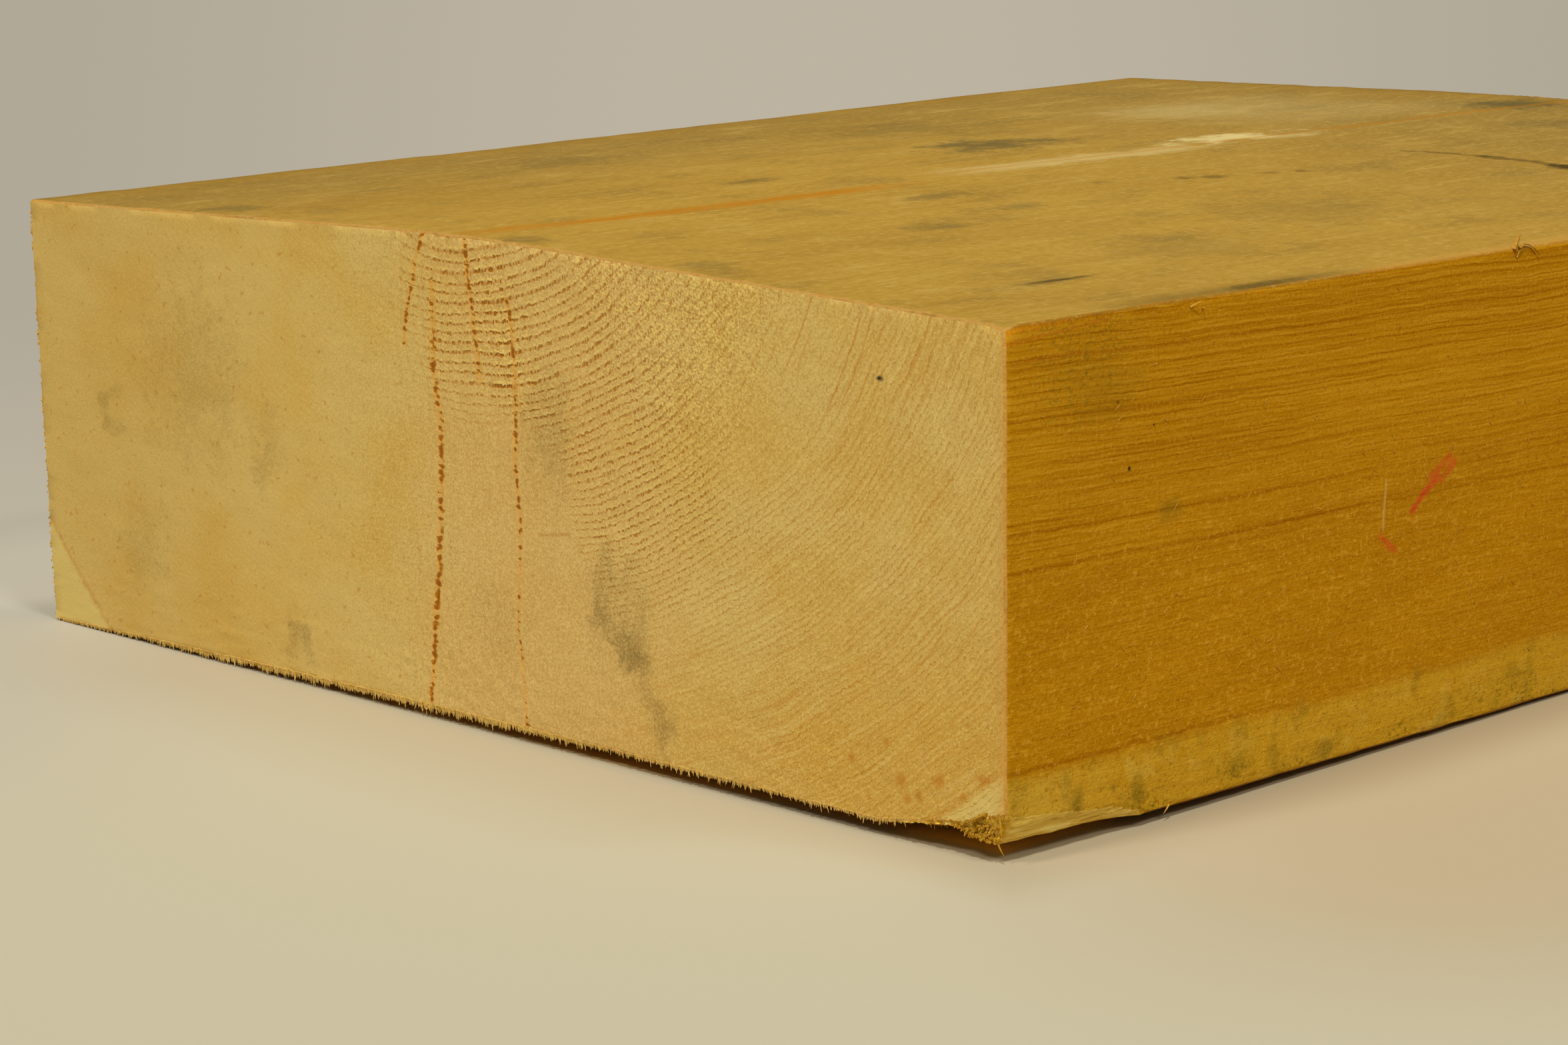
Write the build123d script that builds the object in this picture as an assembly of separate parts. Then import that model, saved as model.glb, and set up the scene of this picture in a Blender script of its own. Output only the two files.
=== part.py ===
from build123d import *
import math
import os

# Sawn timber plank, one piece of stock, lying on its wide face.
# Origin on the floor under the middle of the whole plank, +X across the width, +Y along the length, +Z up.
# The near end, at -Y, is the one that dried most: there the plank is hollow below, twisted and checked.

# Overall sizes, in millimetres
LENGTH = 300.0
WIDTH = 225.0
THICKNESS = 75.0

# Section: the saw cut the sides a little out of square, and the pith side dried to a low ridge
SIDE_LEAN_LEFT = 2.1
SIDE_LEAN_RIGHT = -0.2
RIDGE_RISE = 3.5
RIDGE_X = -1.0
RIDGE_RADIUS = 700.0
ARRIS_RADIUS = 0.8

# Warp: the near end twists up from its left arris and its underside turns hollow
STRAIGHT_LENGTH = 90.0
TWIST_LIFT = 2.1
TWIST_POWER = 1.25
HOLLOW_DEPTH = 0.9
HOLLOW_POWER = 2.0
WARP_SECTIONS = 5

# Torn arris: a sliver of wood split away from the lower right arris at the near end
# The torn surface drops steeply from the side to a knee, then runs in flat to the underside
TEAR_WIDTH = 24.5
TEAR_HEIGHT = 5.4
TEAR_LENGTH = 31.0
TEAR_KNEE_INSET = 3.0
TEAR_KNEE_HEIGHT = 1.9
TEAR_SECTIONS = 5
TEAR_MARGIN = 6.0

# Heart checks: narrow splits in the near end's face, running down from the pith
# Each wanders from top to bottom: distances from the ridge's line, at even steps of height
CHECK_LONG_WANDER = [-6.4, -6.5, -5.2, -5.7, -7.2, -9.1]
CHECK_RIGHT_WANDER = [11.1, 12.8, 13.1, 12.5, 13.6]
CHECK_CENTRE_WANDER = [1.2, 1.7, 2.4, 3.4]
CHECK_LEFT_WANDER = [-7.2, -8.4, -11.2, -13.3]
CHECK_LONG_WIDTH = 0.9
CHECK_RIGHT_WIDTH = 0.6
CHECK_SHORT_WIDTH = 0.6
CHECK_LONG_DEPTH = 12.0
CHECK_SHORT_DEPTH = 6.0
CHECK_TOP_WOOD = 5.0
CHECK_BOTTOM_WOOD = 2.0
CHECK_SHORT_REACH = 15.0
CHECK_OVERRUN = 11.0


def section_plane(y):
    """Upright plane across the plank at y, with local x along +X and local y along +Z."""
    return Plane(origin=(0, y, 0), x_dir=(1, 0, 0), z_dir=(0, -1, 0))


def warp_share(y):
    """How far into the warp y is: 0 on the straight part, 1 at the near end."""
    warp_start = LENGTH / 2 - STRAIGHT_LENGTH
    return max(0.0, (warp_start - y) / (LENGTH - STRAIGHT_LENGTH))


def twist_angle(y):
    """Turn of the section at y about its lower left arris, in degrees."""
    lift = TWIST_LIFT * warp_share(y) ** TWIST_POWER
    return math.degrees(math.atan2(lift, WIDTH))


def place_in_section(shape, y):
    """Turn a flat shape with the twist at y and stand it up in the section plane there."""
    arris = Pos(-WIDTH / 2, 0)
    return section_plane(y) * arris * Rot(0, 0, twist_angle(y)) * arris.inverse() * shape


def plank_section(y):
    """The sawn section at y: leaning sides, ridged top, hollow underside, eased arrises."""
    half = WIDTH / 2
    hollow = HOLLOW_DEPTH * warp_share(y) ** HOLLOW_POWER
    lower_left = (-half, 0)
    lower_right = (half, 0)
    upper_right = (half + SIDE_LEAN_RIGHT, THICKNESS)
    ridge = (RIDGE_X, THICKNESS + RIDGE_RISE)
    upper_left = (-half - SIDE_LEAN_LEFT, THICKNESS)
    if hollow > 0:
        underside = ThreePointArc(lower_left, (0, hollow), lower_right)
    else:
        underside = Line(lower_left, lower_right)
    outline = underside + Polyline(lower_right, upper_right, ridge, upper_left, lower_left)
    face = make_face(outline)
    ridge_corner = face.vertices().sort_by(Axis.Y)[-1]
    arrises = [v for v in face.vertices() if v != ridge_corner]
    face = fillet(arrises, ARRIS_RADIUS)
    ridge_corner = face.vertices().sort_by(Axis.Y)[-1]
    return place_in_section(fillet(ridge_corner, RIDGE_RADIUS), y)


def plank_body():
    """The straight part as an extrusion, and the warped part as a loft that carries on from it."""
    warp_start = LENGTH / 2 - STRAIGHT_LENGTH
    straight = extrude(plank_section(warp_start), amount=-STRAIGHT_LENGTH)
    step = (LENGTH - STRAIGHT_LENGTH) / (WARP_SECTIONS - 1)
    warped = loft([plank_section(warp_start - i * step) for i in range(WARP_SECTIONS)])
    return straight + warped


def tear_section(y, share):
    """What is missing from the lower right arris at y, as a corner piece of the given share of its full size."""
    half = WIDTH / 2
    width = TEAR_WIDTH * share
    height = TEAR_HEIGHT * share
    outline = Polyline(
        (half - width, 0),
        (half - TEAR_KNEE_INSET * share, TEAR_KNEE_HEIGHT * share),
        (half, height),
        (half + TEAR_MARGIN, height),
        (half + TEAR_MARGIN, -TEAR_MARGIN),
        (half - width, -TEAR_MARGIN),
        close=True,
    )
    return place_in_section(make_face(outline), y)


def tear():
    """The torn-off sliver: full size at the near end, running out to nothing along the arris."""
    sections = []
    for i in range(TEAR_SECTIONS):
        along = TEAR_LENGTH * i / (TEAR_SECTIONS - 1)
        share = max(1 - (along / TEAR_LENGTH) ** 2, 0.02)
        sections.append(tear_section(along - LENGTH / 2, share))
    return loft(sections)


def check(wander, top, bottom, width, depth):
    """One split in the near end between two heights: closing to a point at both of its ends."""
    step = (top - bottom) / (len(wander) - 1)
    points = [(RIDGE_X + x, top - i * step) for i, x in enumerate(wander)]
    left = [(x - width / 2, z) for x, z in points[1:-1]]
    right = [(x + width / 2, z) for x, z in points[1:-1]]
    outline = Polyline(points[0], *left, points[-1], *reversed(right), close=True)
    return extrude(place_in_section(make_face(outline), -LENGTH / 2), amount=-depth)


def long_check(wander, width):
    """A check that crosses the section, with sound wood left above and below it."""
    return check(wander, THICKNESS - CHECK_TOP_WOOD, CHECK_BOTTOM_WOOD, width, CHECK_LONG_DEPTH)


def short_check(wander):
    """A check that is open at the top face and reaches a little way down from it."""
    top = THICKNESS + CHECK_OVERRUN
    bottom = THICKNESS - CHECK_SHORT_REACH
    return check(wander, top, bottom, CHECK_SHORT_WIDTH, CHECK_SHORT_DEPTH)


def build_plank():
    """The whole plank: warped body, less its torn arris and its checks, over its own origin."""
    plank = plank_body() - tear()
    plank -= long_check(CHECK_LONG_WANDER, CHECK_LONG_WIDTH)
    plank -= long_check(CHECK_RIGHT_WANDER, CHECK_RIGHT_WIDTH)
    plank -= short_check(CHECK_CENTRE_WANDER)
    plank -= short_check(CHECK_LEFT_WANDER)
    return Pos(-plank.bounding_box().center().X, 0, 0) * plank


os.makedirs("parts", exist_ok=True)
export_step(build_plank(), "parts/plank.step")
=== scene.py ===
"""Looks of a short, thick off-cut of rough-sawn softwood plank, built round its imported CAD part."""

import enum
import logging
import math
import random
from dataclasses import dataclass, field

import bmesh
import bpy
from mathutils import Matrix, Vector, noise


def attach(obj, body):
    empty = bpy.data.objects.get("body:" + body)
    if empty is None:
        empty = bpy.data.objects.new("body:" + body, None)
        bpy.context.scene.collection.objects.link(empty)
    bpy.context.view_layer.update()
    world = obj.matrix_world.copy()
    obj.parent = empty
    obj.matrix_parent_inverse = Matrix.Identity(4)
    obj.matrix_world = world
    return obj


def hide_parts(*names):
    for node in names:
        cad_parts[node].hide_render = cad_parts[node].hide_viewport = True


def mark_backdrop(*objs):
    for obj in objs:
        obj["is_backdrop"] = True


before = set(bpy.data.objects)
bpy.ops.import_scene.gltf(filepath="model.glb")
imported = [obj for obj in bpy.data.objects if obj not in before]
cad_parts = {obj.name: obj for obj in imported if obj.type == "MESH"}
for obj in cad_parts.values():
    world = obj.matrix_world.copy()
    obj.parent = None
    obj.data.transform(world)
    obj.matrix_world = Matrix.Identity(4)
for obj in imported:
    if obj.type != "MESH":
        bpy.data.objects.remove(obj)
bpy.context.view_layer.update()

LOG = logging.getLogger("plank")
MM = 0.001
NODE = "plank"
BODY = "root"

Socket = bpy.types.NodeSocket
Material = bpy.types.Material
Colour = tuple[float, float, float, float]
Pair = tuple[float, float]
Triple = tuple[float, float, float]
Ends = tuple[Pair, Pair]
Dab = tuple[Pair, Pair, float]
Drag = tuple[Ends, float, float]


def paint(red: int, green: int, blue: int) -> Colour:
    """Turn a colour read off a screen into the linear one that a shader takes.

    Args:
        red: Red, 0 to 255.
        green: Green, 0 to 255.
        blue: Blue, 0 to 255.

    Returns:
        Linear red, green and blue, and an alpha of 1.
    """
    def linear(level: float) -> float:
        """Undo the screen's transfer curve for one channel."""
        level /= 255
        return level / 12.92 if level <= 0.04045 else ((level + 0.055) / 1.055) ** 2.4

    return (linear(red), linear(green), linear(blue), 1.0)


def ease(value: float, low: float, high: float) -> float:
    """Smooth step of value, 0 at low and 1 at high."""
    share = min(1.0, max(0.0, (value - low) / (high - low)))
    return share * share * (3 - 2 * share)


def between(value: float, knots: tuple[Pair, ...]) -> float:
    """Read a broken line.

    Args:
        value: Where to read it.
        knots: Its corners, as place and height, by rising place.

    Returns:
        The height there; level beyond both ends.
    """
    if value <= knots[0][0]:
        return knots[0][1]
    for (a, low), (b, high) in zip(knots, knots[1:]):
        if value <= b:
            return low + (high - low) * (value - a) / (b - a)
    return knots[-1][1]


def in_scene(name: str, data: bpy.types.ID) -> bpy.types.Object:
    """Put an object in the scene.

    Args:
        name: Its name.
        data: Its mesh, light or camera.

    Returns:
        The object.
    """
    thing = bpy.data.objects.new(name, data)
    bpy.context.scene.collection.objects.link(thing)
    return thing


def finished(name: str, bm: bmesh.types.BMesh, materials: list[Material]) -> bpy.types.Object:
    """Turn a bmesh into a piece in the scene.

    Args:
        name: The piece's name.
        bm: Its shape, in metres, which is freed.
        materials: The materials of its slots, in order.

    Returns:
        The piece.
    """
    mesh = bpy.data.meshes.new(name)
    bm.to_mesh(mesh)
    bm.free()
    for material in materials:
        mesh.materials.append(material)
    return in_scene(name, mesh)


class Skin(enum.IntEnum):
    """The finishes of the plank's faces, in the order of its material slots."""

    END_GRAIN = 0
    EDGE_GRAIN = 1
    TOP_GRAIN = 2
    ARRIS = 3
    TORN = 4


class Term:
    """A number in a material's node tree, which is reckoned with like a plain one."""

    def __init__(self, graph: "Graph", socket: Socket) -> None:
        """Hold a node's output and the graph that it is in."""
        self.graph = graph
        self.socket = socket

    def __add__(self, other: "Term | float") -> "Term":
        """Sum."""
        return self.graph.math("ADD", self, other)

    __radd__ = __add__

    def __sub__(self, other: "Term | float") -> "Term":
        """Difference."""
        return self.graph.math("SUBTRACT", self, other)

    def __rsub__(self, other: float) -> "Term":
        """Difference from a plain number."""
        return self.graph.math("SUBTRACT", other, self)

    def __mul__(self, other: "Term | float") -> "Term":
        """Product."""
        return self.graph.math("MULTIPLY", self, other)

    def __truediv__(self, other: "Term | float") -> "Term":
        """Quotient."""
        return self.graph.math("DIVIDE", self, other) if isinstance(other, Term) else self * (1 / other)

    def __abs__(self) -> "Term":
        """Size without its sign."""
        return self.graph.math("ABSOLUTE", self)

    def floor(self) -> "Term":
        """Whole part."""
        return self.graph.math("FLOOR", self)

    def fraction(self) -> "Term":
        """What is left over the whole part."""
        return self.graph.math("FRACT", self)

    def step(self, low: float, high: float) -> "Term":
        """Smooth step.

        Args:
            low: Where it is 0.
            high: Where it is 1; this may be the smaller of the two.

        Returns:
            The step.
        """
        node = self.graph.add("ShaderNodeMapRange", interpolation_type="SMOOTHSTEP")
        start, stop, low, high = (low, high, 0.0, 1.0) if low <= high else (high, low, 1.0, 0.0)
        settings = {"Value": self, "From Min": start, "From Max": stop, "To Min": low, "To Max": high}
        return Term(self.graph, self.graph.fill(node, settings).outputs["Result"])


class Graph:
    """One material's node tree and its colour so far, with short calls that add a node and link it."""

    def __init__(self, name: str) -> None:
        """Start an empty material.

        Args:
            name: The material's name.
        """
        self.material = bpy.data.materials.new(name)
        self.material.use_nodes = True
        self.tree = self.material.node_tree
        self.tree.nodes.clear()
        self.colour: object = None

    def add(self, kind: str, **settings: object) -> bpy.types.Node:
        """Add a node.

        Args:
            kind: Its type.
            **settings: Its properties.

        Returns:
            The node.
        """
        node = self.tree.nodes.new(kind)
        for key, value in settings.items():
            setattr(node, key, value)
        return node

    def plug(self, socket: Socket, value: object) -> None:
        """Feed an input.

        Args:
            socket: The input.
            value: A term or an output to link to it, or its constant value.
        """
        value = value.socket if isinstance(value, Term) else value
        if isinstance(value, Socket):
            self.tree.links.new(value, socket)
        else:
            socket.default_value = value

    def fill(self, node: bpy.types.Node, settings: dict[str, object]) -> bpy.types.Node:
        """Feed some of a node's inputs.

        Args:
            node: The node.
            settings: What each named input takes.

        Returns:
            The node.
        """
        for name, value in settings.items():
            self.plug(node.inputs[name], value)
        return node

    def math(self, operation: str, a: Term | float, b: Term | float = 0.0) -> Term:
        """Reckon with one or two terms.

        Args:
            operation: The Math node's operation.
            a: First term.
            b: Second term, if the operation takes two.

        Returns:
            The result.
        """
        node = self.add("ShaderNodeMath", operation=operation)
        self.plug(node.inputs[0], a)
        self.plug(node.inputs[1], b)
        return Term(self, node.outputs[0])

    def larger(self, a: Term | float, b: Term | float) -> Term:
        """The larger of two terms."""
        return self.math("MAXIMUM", a, b)

    def smaller(self, a: Term | float, b: Term | float) -> Term:
        """The smaller of two terms."""
        return self.math("MINIMUM", a, b)

    def hypot(self, a: Term, b: Term) -> Term:
        """The long side over two square ones."""
        return self.math("SQRT", a * a + b * b)

    def grain(self, x: Term | float, y: Term | float, z: Term | float, detail: float = 2.0,
              rough: float = 0.5) -> Term:
        """Noise, about 0 to 1.

        Args:
            x: First coordinate, already divided by the size of the noise's features.
            y: Second coordinate.
            z: Third coordinate.
            detail: Octaves of finer noise.
            rough: How strong each finer octave is.

        Returns:
            The noise.
        """
        place = self.add("ShaderNodeCombineXYZ")
        for socket, value in zip(place.inputs, (x, y, z)):
            self.plug(socket, value)
        node = self.add("ShaderNodeTexNoise", noise_dimensions="3D")
        settings = {"Vector": place.outputs[0], "Scale": 1.0, "Detail": detail, "Roughness": rough}
        return Term(self, self.fill(node, settings).outputs[0])

    def mix(self, share: Term | float, a: object, b: object) -> Socket:
        """Blend two colours.

        Args:
            share: The second colour's share, 0 to 1.
            a: First colour, as a constant or an output.
            b: Second colour.

        Returns:
            The blend.
        """
        node = self.add("ShaderNodeMix", data_type="RGBA", blend_type="MIX")
        self.plug(node.inputs[0], share)
        self.plug(node.inputs[6], a)
        self.plug(node.inputs[7], b)
        return node.outputs[2]

    def tint(self, tone: object, share: Term | float) -> None:
        """Blend this share of a tone into the colour so far."""
        self.colour = self.mix(share, self.colour, tone)

    def millimetres(self) -> tuple[Term, ...]:
        """Read the place on the object.

        Returns:
            Millimetres along X, Y and Z.
        """
        node = self.add("ShaderNodeSeparateXYZ")
        self.plug(node.inputs[0], self.add("ShaderNodeTexCoord").outputs["Object"])
        return tuple(Term(self, axis) * 1000.0 for axis in node.outputs)

    def spot(self, u: Term, v: Term, at: Pair, size: Pair, fray: Term | float = 0.0) -> Term:
        """A soft oval mark on a face.

        Args:
            u: First coordinate on the face, in millimetres.
            v: Second coordinate.
            at: The mark's centre.
            size: Its half width and half height.
            fray: Added to the distance, to break the mark's edge up.

        Returns:
            The mark's strength, 0 to 1.
        """
        across = self.math("DIVIDE", u - at[0], size[0])
        up = self.math("DIVIDE", v - at[1], size[1])
        return (self.hypot(across, up) + fray).step(1.05, 0.1)

    def reach(self, u: Term, v: Term, ends: Ends) -> Term:
        """Distance to a straight line between two points on a face.

        Args:
            u: First coordinate on the face, in millimetres.
            v: Second coordinate.
            ends: The line's two ends.

        Returns:
            The distance, in millimetres.
        """
        (u0, v0), (u1, v1) = ends
        length = max(math.hypot(u1 - u0, v1 - v0), 1e-6)
        to_u, to_v = (u1 - u0) / length, (v1 - v0) / length
        from_u, from_v = u - u0, v - v0
        along = self.smaller(self.larger(from_u * to_u + from_v * to_v, 0.0), length)
        return self.hypot(from_u - along * to_u, from_v - along * to_v)

    def stroke(self, u: Term, v: Term, ends: Ends, width: float, fray: Term) -> Term:
        """A soft straight mark between two points on a face; fray breaks its edge up, in half widths."""
        return (self.reach(u, v, ends) / width + fray).step(1.0, 0.2)

    def dabs(self, tone: Colour, u: Term, v: Term, marks: tuple[Dab, ...], fray: Term | float,
             weave: Term | float = 1.0) -> None:
        """Tint oval marks, each given by its centre, its half sizes and its strength."""
        for at, size, share in marks:
            self.tint(tone, self.spot(u, v, at, size, fray) * weave * share)

    def drags(self, tone: Colour, u: Term, v: Term, marks: tuple[Drag, ...], fray: Term,
              weave: Term | float = 1.0) -> None:
        """Tint straight marks, each given by its ends, its half width and its strength."""
        for ends, width, share in marks:
            self.tint(tone, self.stroke(u, v, ends, width, fray) * weave * share)

    def close(self, roughness: float, sheen: float, height: Term | None = None,
              depth: float = 0.0) -> Material:
        """Finish the material: matt wood or paper of the colour so far.

        Args:
            roughness: The shader's roughness.
            sheen: Its specular level.
            height: Relief, about 0 to 1, if it has one.
            depth: The relief's depth for a height of 1, in millimetres.

        Returns:
            The material.
        """
        shader = self.add("ShaderNodeBsdfPrincipled")
        self.fill(shader, {"Base Color": self.colour, "Roughness": roughness, "Specular IOR Level": sheen})
        if height is not None:
            bump = self.add("ShaderNodeBump")
            self.fill(bump, {"Strength": 1.0, "Distance": depth * MM, "Height": height})
            self.fill(shader, {"Normal": bump.outputs[0]})
        self.fill(self.add("ShaderNodeOutputMaterial"), {"Surface": shader.outputs[0]})
        return self.material


@dataclass(frozen=True)
class Log:
    """The tree that the plank was sawn from: its rings are centred above the top face."""

    pith_x: float = -2.1
    pith_z: float = 108.0
    heartwood_radius: float = 142.8
    heartwood_skew: float = 2.4
    ring_rate: float = 0.305
    ring_width: float = 1.2
    ring_crowding: float = 0.003585


@dataclass(frozen=True)
class EndGrain:
    """Sawn end grain: rings as rows of torn pits, stains, and paler sapwood in the lower corners."""

    log: Log = Log()
    base: Colour = paint(201, 170, 94)
    light: Colour = paint(221, 193, 118)
    dark: Colour = paint(174, 136, 60)
    warm: Colour = paint(203, 161, 96)
    ring: Colour = paint(164, 101, 18)
    fleck: Colour = paint(228, 194, 102)
    sapwood: Colour = paint(208, 183, 103)
    resin: Colour = paint(178, 110, 20)
    ochre: Colour = paint(192, 144, 42)
    stain: Colour = paint(138, 112, 56)
    # check and check_edge_shade are painted shade inside the open splits.
    check: Colour = paint(142, 78, 2)
    check_edge_shade: Colour = paint(176, 108, 16)
    check_rim: Colour = paint(212, 148, 50)
    blush: Colour = paint(192, 140, 62)
    speck: Colour = paint(52, 40, 18)
    relief: float = 0.16
    steep: tuple[Triple, ...] = (
        (70.5, 56, 0.26), (75.4, 54, 0.26), (78.5, 56, 0.42), (80.9, 58, 0.3), (84.2, 62, 0.5),
        (86.0, 62, 0.36), (93.8, 61, 0.55), (95.8, 62, 0.4), (98.2, 61, 0.32), (100.5, 60, 0.26),
        (106.0, 58, 0.3), (110.3, 52, 0.24), (115.5, 48, 0.24), (117.3, 52, 0.2), (123.2, 50, 0.22),
        (128.7, 50, 0.26), (132.6, 44, 0.3), (137.9, 40, 0.22),
    )
    blots: tuple[Ends, ...] = (
        ((94.0, 9.4), (1.6, 1.5)), ((101.3, 10.6), (1.7, 1.3)), ((95.0, 6.8), (1.2, 1.0)),
        ((97.2, 7.6), (0.9, 1.3)), ((87.5, 5.5), (0.9, 0.8)), ((105.5, 9.2), (1.0, 1.0)),
        ((109.6, 12.4), (1.6, 0.8)), ((91.0, 14.6), (0.7, 0.8)), ((84.0, 11.0), (0.8, 1.0)),
    )
    stains: tuple[Dab, ...] = (
        ((20.0, 50.0), (8.0, 12.0), 0.34), ((-68.0, 49.0), (20.0, 20.0), 0.25),
        ((-50.8, 35.6), (4.6, 5.0), 0.3), ((-48.0, 41.0), (4.0, 7.0), 0.16),
        ((37.7, 18.6), (5.5, 4.5), 0.5), ((35.0, 25.0), (8.0, 12.0), 0.3), ((45.0, 8.0), (3.6, 6.0), 0.34),
        ((-42.4, 7.2), (5.0, 6.5), 0.16), ((8.0, 18.0), (9.0, 9.0), 0.15),
        ((-84.0, 18.0), (10.0, 12.0), 0.2),
    )
    insect: tuple[Dab, ...] = (((89.5, 67.1), (1.0, 0.6), 1.0),)
    scratches: tuple[Drag, ...] = ((((17.7, 34.0), (24.3, 35.1)), 0.4, 0.35),)
    smudges: tuple[Drag, ...] = (
        (((32.5, 33.0), (31.2, 24.0)), 3.0, 0.28), (((31.2, 24.0), (37.0, 18.5)), 3.4, 0.34),
        (((41.0, 27.0), (39.5, 18.5)), 3.2, 0.24), (((40.0, 16.0), (45.6, 6.0)), 3.2, 0.3),
        (((-90.2, 43.8), (-94.6, 42.0)), 2.0, 0.24), (((-94.6, 42.0), (-94.0, 38.2)), 2.0, 0.2),
        (((-94.0, 37.6), (-89.6, 37.4)), 2.0, 0.26), (((-44.6, 4.6), (-43.6, 9.6)), 1.9, 0.24),
        (((-43.6, 9.8), (-40.6, 9.2)), 1.9, 0.22), (((-40.4, 9.0), (-39.4, 4.4)), 1.9, 0.26),
    )

    def dress(self, checks: "Checks") -> Material:
        """Make the material.

        Args:
            checks: The splits to draw.

        Returns:
            The material.
        """
        g = Graph("end_grain")
        x, y, z = g.millimetres()
        tone = g.grain(x / 24, 0.0, z / 20, 3.0)
        wander = g.grain(x / 16, 3.1, z / 16, 1.0) - 0.5
        fine = g.grain(x / 0.36, 1.7, z / 0.36, 2.0, 0.6)
        coarse = g.grain(x / 1.3, 9.2, z / 1.3, 2.0, 0.6)
        crumb = g.grain(x / 0.46, 5.7, z / 0.46, 1.0, 0.6)
        ragged = g.grain(x / 0.8, 6.6, z / 0.8, 1.0) - 0.5
        soft = g.grain(x / 4.0, 2.2, z / 4.0, 3.0, 0.6) - 0.5
        fray = (coarse - 0.5) * 1.2 + soft * 1.6
        calm = x.step(-50, 0) * 0.6 + 0.3 - x.step(70, 95) * 0.2

        right = x - self.log.pith_x
        below = self.log.pith_z - z
        span = g.hypot(right, below)
        lean = right / span
        turn = g.math("ARCTAN2", right, below) * (180 / math.pi)
        flat = right / self.log.ring_width
        oval = g.hypot(flat, below)
        radius = wander * 2.6 + ragged * 0.9 + oval
        count = radius * self.log.ring_rate + radius * radius * self.log.ring_crowding
        uneven = g.grain(radius / 5.0, 5.5, 0.0, 1.0) - 0.5
        count += uneven * 1.2
        share = count.fraction()
        number = count.floor()
        latewood = share.step(0.6, 0.75) * share.step(0.98, 0.86)
        arc = turn * (math.pi / 180) * span
        dashes = g.grain(arc / 0.6, number * 3.7, 0.0, 1.0, 0.6)

        g.colour = g.mix(tone.step(0.35, 0.7), self.base, g.mix(0.45, self.base, self.ochre))
        g.tint(self.warm, x.step(-20, 5) * x.step(60, 30) * 0.5)
        g.tint(self.dark, x.step(-40, -95) * 0.22)
        corner = (x - z).step(20, 85) * z.step(50, 12)
        g.tint(self.ochre, corner * 0.65)
        g.tint(self.light, fine.step(0.48, 0.7) * 0.6 * calm)
        g.tint(self.dark, fine.step(0.5, 0.3) * 0.6 * calm)
        g.tint(self.resin, coarse.step(0.37, 0.27) * x.step(20, -10) * 0.45)

        edge = lean * self.log.heartwood_skew + wander * 1.4 + self.log.heartwood_radius
        edge += turn.step(0, 20) * 0.6 * (turn - 44.2)
        outside = span + ragged * 1.2 - edge
        paler = x.step(-60, 40) * 0.14 + 0.66
        g.tint(self.sapwood, outside.step(0.0, 1.4) * paler)
        g.tint(self.resin, abs(outside).step(0.7, 0.1) * dashes.step(0.36, 0.5) * 0.32)

        middle = x.step(-9.5, -6.5) * turn.step(26, 14) * span.step(62, 49)
        from_wedge = turn - span.step(50, 66) * 13.0
        flank = from_wedge.step(6, 12) * turn.step(54, 38)
        flank = span.step(28, 36) * span.step(101, 80) * flank
        upper = turn.step(84, 70) * span.step(88, 62) * turn.step(38, 52)
        left = x.step(-7.5, -9.5) * x.step(-16, -12) * span.step(52, 40)
        low = turn.step(24, 40) * span.step(84, 96)
        reach = middle * 0.95 + flank * 0.9 + (left * 0.5 + low * 0.3 + upper * 0.4)
        patchy = g.grain(x / 7.0, 8.8, z / 7.0, 2.0).step(0.3, 0.52)
        reach *= patchy * 0.45 + 0.55
        torn = latewood * dashes.step(0.47, 0.57) * reach
        faint = latewood * (reach * 0.34 + 0.05)
        lip = share.step(0.34, 0.46) * share.step(0.62, 0.52) * reach * dashes.step(0.42, 0.56)

        streaks = g.grain(radius / 0.36, 2.2, arc / 22, 2.0, 0.6)
        outer = span.step(84, 100) * turn.step(14, 30)
        g.tint(self.resin, streaks.step(0.55, 0.68) * outer * 0.34)
        g.tint(self.light, streaks.step(0.45, 0.32) * outer * 0.22)
        broken = g.grain(arc / 6.0, number * 2.1, 0.0, 2.0).step(0.34, 0.54)
        for at, from_turn, strength in self.steep:
            off = abs(span + ragged * 0.3 - at)
            line = turn.step(from_turn - 6, from_turn + 2) * broken * off.step(0.28, 0.05)
            g.tint(self.resin, line * strength)
        g.tint(self.resin, faint)

        shaggy = turn.step(34, 50) * turn.step(88, 78) * (span.step(30, 42) * span.step(92, 66))
        rough = middle * 0.35 + flank * 0.3 + shaggy
        g.tint(self.fleck, crumb.step(0.54, 0.66) * rough * 0.8)
        g.tint(self.ring, crumb.step(0.42, 0.32) * rough * 0.6)
        g.tint(self.fleck, lip * 0.6)
        g.tint(self.ring, torn * 0.82)

        g.tint(self.blush, x.step(110.8, 113.6) * 0.5)
        bare = g.colour
        for at, size in self.blots:
            g.tint(self.resin, g.spot(x, z, at, size, fray) * 0.6)
        weave = fine.step(0.62, 0.38) * 0.6 + 0.55
        g.dabs(self.stain, x, z, self.stains, fray, weave)
        g.drags(self.stain, x, z, self.smudges, fray, weave)
        g.drags(self.ring, x, z, self.scratches, fray * 0.6)
        g.dabs(self.speck, x, z, self.insect, fray)

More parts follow.
